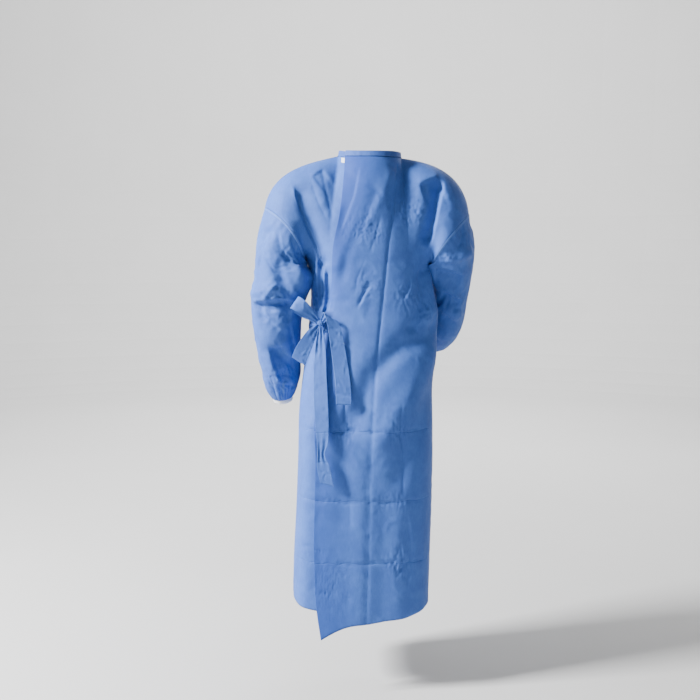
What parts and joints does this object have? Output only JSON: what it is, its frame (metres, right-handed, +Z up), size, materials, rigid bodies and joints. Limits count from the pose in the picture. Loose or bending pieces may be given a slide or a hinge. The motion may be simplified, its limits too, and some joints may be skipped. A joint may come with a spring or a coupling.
{
  "type": "surgical gown",
  "caption": "Blue nonwoven wrap-back surgical gown in its worn, hollow form, tied with a bow at the wearer's left side-back, with white knit cuffs.",
  "frame": {"origin": "middle of the shoulder line at the base of the neck, where the wearer holds the gown up", "axes": "+Z up, +X towards the wearer's left, +Y towards the wearer's back, which is the side with the wrap and the bow"},
  "size_m": [0.619, 0.4525, 1.3307],
  "materials": {
    "sms_nonwoven": "matt blue spunbond nonwoven with a fine bonded dot pattern",
    "binding_nonwoven": "matt blue folded nonwoven binding",
    "rib_knit": "white ribbed polyester knit",
    "hook_tape": "white hook-and-loop tape"
  },
  "bodies": {
    "root": {"front": "sms_nonwoven", "back_right": "sms_nonwoven", "back_left": "sms_nonwoven", "sleeve_left": "sms_nonwoven", "sleeve_right": "sms_nonwoven", "tie_side": "sms_nonwoven", "tie_wrap": "sms_nonwoven", "bow_knot": "sms_nonwoven", "loop_upper": "sms_nonwoven", "loop_lower": "sms_nonwoven", "tail_short": "sms_nonwoven", "tail_long": "sms_nonwoven", "neck_binding": "binding_nonwoven", "cuff_left": "rib_knit", "cuff_right": "rib_knit", "hook_tab": "hook_tape"}
  },
  "joints": []
}
